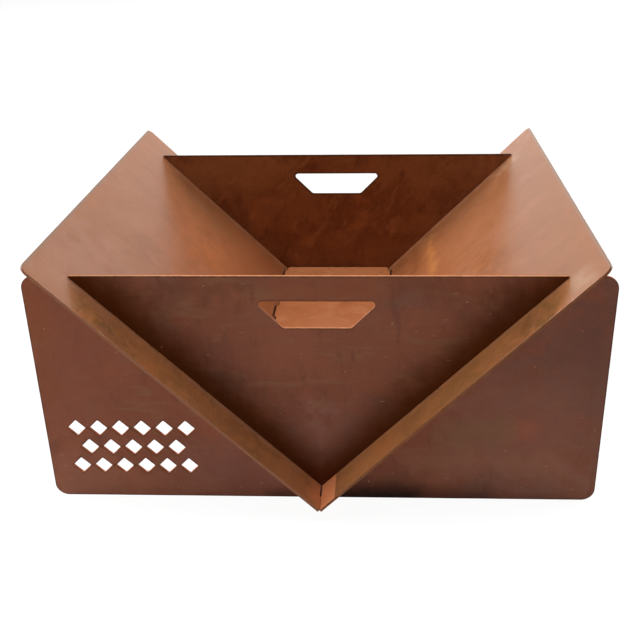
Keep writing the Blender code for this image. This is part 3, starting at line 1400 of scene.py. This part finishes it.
def side_rust(bowl: Bowl, name: str, seed: float, cut: Colour,
              patches: tuple[Patch, ...]) -> RustFinish:
    """Paler, glossier rust of a side plate, mottled on its ends outside the end panels.

    Args:
        bowl: Where the end panels stand.
        name: Name of the material.
        seed: Where its patterns are read.
        cut: Colour of its cut edges.
        patches: Its own stains, painted light and painted shade.

    Returns:
        The finish.
    """
    ends = (bowl.half_length + bowl.thickness, 2 * bowl.joint_middle)
    return RustFinish(
        name=name,
        seed=seed,
        cut=cut,
        patches=patches,
        ground=(0.325, 0.124, 0.051),
        rim=(0.420, 0.200, 0.120),
        rim_width=(0.0002, 0.0011),
        clouds=(
            Cloud((0.285, 0.108, 0.043), 0.8, size=0.11, levels=(0.48, 0.64), detail=2),
            Cloud((0.350, 0.145, 0.068), 0.8, size=0.08, levels=(0.48, 0.66), detail=2),
            Cloud((0.370, 0.128, 0.046), 0.5, size=0.045, levels=(0.50, 0.70), detail=3),
            Cloud((0.280, 0.108, 0.046), 0.5, size=0.025, levels=(0.52, 0.72), warp=1),
            Cloud((0.270, 0.098, 0.034), 0.3, size=0.020, levels=(0.52, 0.76), long=5,
                  turn=UP_THE_PLATE, detail=2),
            Cloud((0.225, 0.104, 0.033), 0.8, size=0.035, levels=(0.48, 0.58), detail=3, ends=ends),
            Cloud((0.480, 0.172, 0.056), 0.75, size=0.016, levels=(0.46, 0.64), warp=0.3,
                  ends=ends),
            Cloud((0.130, 0.046, 0.018), 0.5, size=0.010, levels=(0.54, 0.72), long=1.5,
                  turn=UP_THE_PLATE, warp=0.3, ends=ends),
            Cloud((0.520, 0.240, 0.100), 0.5, size=0.005, levels=(0.54, 0.70), ends=ends),
        ),
        specks=(
            Specks((0.15, 0.055, 0.030), 0.5, cell=0.018, size=0.0006, share=0.12),
            Specks((0.52, 0.24, 0.120), 0.6, cell=0.030, size=0.0009, share=0.2),
        ),
        edge_patches=(
            Patch((0.265, 0.148, 0.092), 0.9, (0, bowl.side_run),
                  (bowl.side_half_length, 0.003), 0.0012),
        ),
        roughness=(0.18, 0.26),
        shine=0.32,
    )


# Stains, painted light and painted shade of the two side plates: colour, cover, middle, half size
# and softness.
LEFT_PATCHES = (
    Patch((0.420, 0.142, 0.054), 0.7, (0, 0.11), (0.20, 0.14), 0.06),
    Patch((0.400, 0.150, 0.072), 0.6, (-0.050, 0.265), (0.090, 0.040), 0.05),
    Patch((0.360, 0.165, 0.100), 0.7, (0.190, 0.350), (0.060, 0.040), 0.05),
    Patch((0.500, 0.165, 0.056), 0.5, (-0.065, 0.230), (0.030, 0.020), 0.03),
    # Painted shade beside the back panel.
    Patch((0.270, 0.120, 0.052), 0.5, (-0.170, 0.260), (0.020, 0.050), 0.04),
    Patch((0.230, 0.100, 0.052), 0.45, (-0.198, 0.332), (0.010, 0.018), 0.02),
    Patch((0.260, 0.108, 0.050), 0.4, (-0.190, 0.262), (0.006, 0.020), 0.012),
    # Painted light: a pale line along the joint with the back panel.
    Patch((0.440, 0.200, 0.110), 0.5, (-0.219, 0.190), (0.004, 0.160), 0.006),
    Patch((0.425, 0.168, 0.064), 0.5, (0.262, 0.150), (0.030, 0.120), 0.02),
    # Painted light along the front end's inner border, beside the front panel.
    Patch((0.480, 0.220, 0.130), 0.6, (0.232, 0.190), (0.003, 0.160), 0.004),
    Patch((0.490, 0.190, 0.072), 0.6, (0.236, 0.265), (0.006, 0.070), 0.010),
    Patch((0.500, 0.205, 0.088), 0.6, (0.236, 0.030), (0.006, 0.030), 0.010),
    Patch((0.280, 0.118, 0.048), 0.4, (0.257, 0.125), (0.020, 0.012), 0.02),
    Patch((0.470, 0.195, 0.090), 0.4, (0.252, 0.240), (0.020, 0.012), 0.02),
    Patch((0.440, 0.150, 0.046), 0.5, (0.262, 0.235), (0.020, 0.012), 0.012),
    Patch((0.200, 0.085, 0.042), 0.25, (0.256, 0.285), (0.020, 0.012), 0.015),
    Patch((0.460, 0.176, 0.070), 0.6, (0.262, 0.030), (0.030, 0.040), 0.02),
    # Painted shade beside the back panel, near the top.
    Patch((0.240, 0.085, 0.036), 0.5, (-0.195, 0.300), (0.020, 0.012), 0.015),
    Patch((0.560, 0.205, 0.085), 0.9, (0.250, 0.002), (0.023, 0.014), 0.012),
)
RIGHT_PATCHES = (
    Patch((0.480, 0.170, 0.064), 0.7, (0, 0.11), (0.20, 0.14), 0.06),
    Patch((0.420, 0.165, 0.078), 0.5, (0.070, 0.260), (0.090, 0.040), 0.05),
    Patch((0.265, 0.104, 0.036), 0.6, (0, 0.375), (0.250, 0.030), 0.05),
    # Painted shade beside the back panel.
    Patch((0.310, 0.140, 0.064), 0.5, (0.180, 0.250), (0.020, 0.050), 0.04),
    Patch((0.330, 0.130, 0.056), 0.45, (0.125, 0.270), (0.012, 0.035), 0.02),
    Patch((0.460, 0.270, 0.165), 0.7, (0.200, 0.340), (0.012, 0.014), 0.02),
    Patch((0.470, 0.215, 0.090), 0.6, (0.199, 0.184), (0.008, 0.010), 0.012),
    Patch((0.440, 0.270, 0.165), 0.55, (-0.250, 0.364), (0.014, 0.008), 0.012),
    # Painted light: a pale line along the joint with the back panel.
    Patch((0.480, 0.220, 0.120), 0.6, (0.219, 0.190), (0.004, 0.160), 0.006),
    # Painted light along the front end's inner border, beside the front panel.
    Patch((0.480, 0.220, 0.120), 0.6, (-0.232, 0.190), (0.003, 0.160), 0.004),
    Patch((0.450, 0.180, 0.066), 0.4, (-0.236, 0.190), (0.006, 0.160), 0.010),
    # Painted reflection of the dark front panel at the top of the front end.
    Patch((0.190, 0.080, 0.024), 0.8, (-0.258, 0.312), (0.020, 0.021), 0.025),
    Patch((0.340, 0.142, 0.046), 0.5, (-0.262, 0.150), (0.030, 0.120), 0.02),
    Patch((0.460, 0.180, 0.064), 0.6, (-0.262, 0.075), (0.030, 0.040), 0.02),
    Patch((0.460, 0.150, 0.046), 0.5, (-0.250, 0.100), (0.012, 0.012), 0.012),
    Patch((0.640, 0.250, 0.080), 0.8, (0.120, 0.189), (0.060, 0.006), 0.010),
    Patch((0.250, 0.090, 0.028), 0.5, (0.165, 0.162), (0.045, 0.006), 0.010),
    Patch((0.830, 0.305, 0.132), 0.95, (-0.250, 0.012), (0.025, 0.011), 0.0008),
)


def floor_rust(bowl: Bowl) -> RustFinish:
    """Bright orange rust of the floor plate, with painted shade on its tabs where they go into
    their slots.

    Args:
        bowl: Where the tabs and the side panels lie.

    Returns:
        The finish.
    """
    slot_start, _ = bowl.section_at_height(bowl.floor_height + bowl.thickness, 0)
    start = slot_start - TAB_SHADE
    middle, half = (bowl.tab_end + start) / 2, (bowl.tab_end - start) / 2
    return RustFinish(
        name="floor_plate_rust",
        seed=29.3,
        ground=(0.580, 0.200, 0.076),
        rim=(0.220, 0.075, 0.036),
        cut=(0.130, 0.040, 0.016),
        clouds=(
            Cloud((0.460, 0.145, 0.050), 0.8, size=0.05, levels=(0.50, 0.66)),
            Cloud((0.680, 0.280, 0.120), 0.8, size=0.04, levels=(0.52, 0.68)),
            Cloud((0.420, 0.135, 0.050), 0.25, size=0.010, levels=(0.54, 0.72), long=4),
        ),
        patches=(
            Patch((0.640, 0.250, 0.100), 0.6, (0, 0.210), (0.080, 0.020), 0.02),
            Patch((0.500, 0.168, 0.070), 0.5, (-0.010, 0.050), (0.070, 0.030), 0.03),
        ),
        specks=(
            FINE_SPECKS,
            Specks((0.75, 0.42, 0.24), 0.7, cell=0.026, size=0.0009, share=0.2),
        ),
        # Painted shade: dark over the tabs, where they go into the side panels' slots.
        edge_patches=tuple(
            Patch((0.020, 0.006, 0.002), 0.95, (side.value * middle, 0),
                  (half, bowl.floor_half_length), soft=0.0003, wander=0.3) for side in Side),
        grain_tone=(0.92, 1.08),
    )


def main() -> None:
    """Build the five plates and the studio."""
    logging.basicConfig(level=logging.INFO, format="%(name)s %(message)s")
    bowl = Bowl.measured()
    left_rust = side_rust(bowl, name="left_plate_rust", seed=13.1, cut=(0.322, 0.134, 0.072),
                          patches=LEFT_PATCHES)
    right_rust = side_rust(bowl, name="right_plate_rust", seed=21.7, cut=(0.245, 0.084, 0.030),
                           patches=RIGHT_PATCHES)
    plates = (
        EndPanel(name="front_plate", node="front_panel", end=End.FRONT, seed=11, bowl=bowl,
                 finish=front_rust(bowl)),
        EndPanel(name="back_plate", node="back_panel", end=End.BACK, seed=12, bowl=bowl,
                 finish=BACK_RUST),
        SidePanel(name="left_side_plate", node="left_panel", body="left_panel", side=Side.LEFT,
                  seed=13, bowl=bowl, finish=left_rust),
        SidePanel(name="right_side_plate", node="right_panel", body="right_panel",
                  side=Side.RIGHT, seed=14, bowl=bowl, finish=right_rust),
        FloorPlate(name="floor_plate", node="base_plate", body="base_plate", seed=15, bowl=bowl,
                   finish=floor_rust(bowl)),
    )
    for plate in plates:
        piece = plate.build()
        plate.dress(piece)
        log.info("%s: %d faces, %.2f mm off its node's box", plate.name,
                 len(piece.data.polygons), MM_PER_M * plate.off_node(piece))
    Studio().set_up()


if __name__ == "__main__":
    main()
